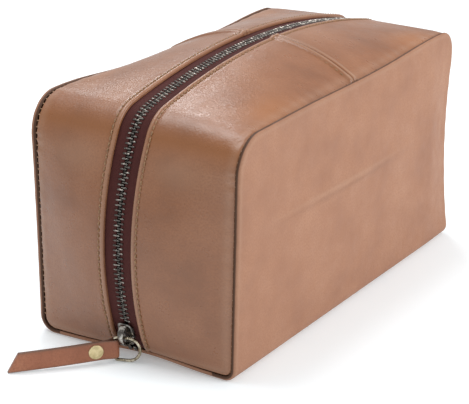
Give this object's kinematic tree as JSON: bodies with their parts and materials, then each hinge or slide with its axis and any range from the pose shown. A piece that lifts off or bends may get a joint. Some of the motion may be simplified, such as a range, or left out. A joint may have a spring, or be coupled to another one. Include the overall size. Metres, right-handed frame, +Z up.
{
  "type": "shaving kit bag",
  "caption": "Boxy leather toiletry bag with a zip that runs up one end, over the domed top and down the other end, and a leather zip pull.",
  "frame": {"origin": "middle of the underside, on the surface that the bag stands on", "axes": "+Y along the bag's length from the closed slider's end to the back, +X to the right across its width, +Z up"},
  "size_m": [0.132, 0.321, 0.1485],
  "materials": {
    "bag_leather": "pull-up leather, satin, tan",
    "strap_leather": "smooth vegetable-tanned leather, reddish tan",
    "lining_cloth": "plain woven cotton",
    "zip_tape": "woven polyester tape, dark maroon brown",
    "zip_metal": "antique brass, dark with bright worn edges",
    "ring_metal": "antique brass wire, worn",
    "rivet_brass": "brushed brass"
  },
  "bodies": {
    "base": {"base_panel": "bag_leather", "lining_base": "lining_cloth", "top_stop_right": "zip_metal", "top_stop_left": "zip_metal", "bottom_stop": "zip_metal"},
    "right_half": {"side_panel_right": "bag_leather", "gusset_front_right": "bag_leather", "gusset_rear_right": "bag_leather", "lining_side_right": "lining_cloth", "lining_gusset_right": "lining_cloth", "zip_tape_right": "zip_tape", "zip_teeth_right": "zip_metal"},
    "left_half": {"side_panel_left": "bag_leather", "gusset_front_left": "bag_leather", "gusset_rear_left": "bag_leather", "lining_side_left": "lining_cloth", "lining_gusset_left": "lining_cloth", "zip_tape_left": "zip_tape", "zip_teeth_left": "zip_metal"},
    "slider": {"slider_body": "zip_metal", "slider_bridge": "zip_metal"},
    "ring": {"pull_ring": "ring_metal"},
    "pull_tab": {"pull_strap": "strap_leather", "rivet_cap": "rivet_brass", "rivet_post": "rivet_brass"}
  },
  "joints": [
    {"name": "mouth_right", "type": "hinge", "parent": "base", "child": "right_half", "pos_m": [0.0525, 0, 0.011], "axis": [0, 1, 0], "range_deg": [0, 12], "deforming": ["zip_tape_right", "zip_teeth_right"]},
    {"name": "mouth_left", "type": "hinge", "parent": "base", "child": "left_half", "pos_m": [-0.0525, 0, 0.011], "axis": [0, 1, 0], "range_deg": [-12, 0], "deforming": ["zip_tape_left", "zip_teeth_left"]},
    {"name": "slider_travel", "type": "hinge", "parent": "base", "child": "slider", "pos_m": [0, -0.0003, 0.06], "axis": [-1, 0, 0], "range_deg": [0, 40]},
    {"name": "ring_lift", "type": "hinge", "parent": "slider", "child": "ring", "pos_m": [0, -0.13594, 0.01409], "axis": [-1, 0, 0], "range_deg": [-10, 75]},
    {"name": "tab_swing", "type": "hinge", "parent": "ring", "child": "pull_tab", "pos_m": [-0.00432, -0.13751, 0.00769], "axis": [0, 0, 1], "range_deg": [-50, 60]}
  ],
  "couplings": [
    {"joint": "mouth_left", "follows": "mouth_right", "ratio": -1}
  ]
}
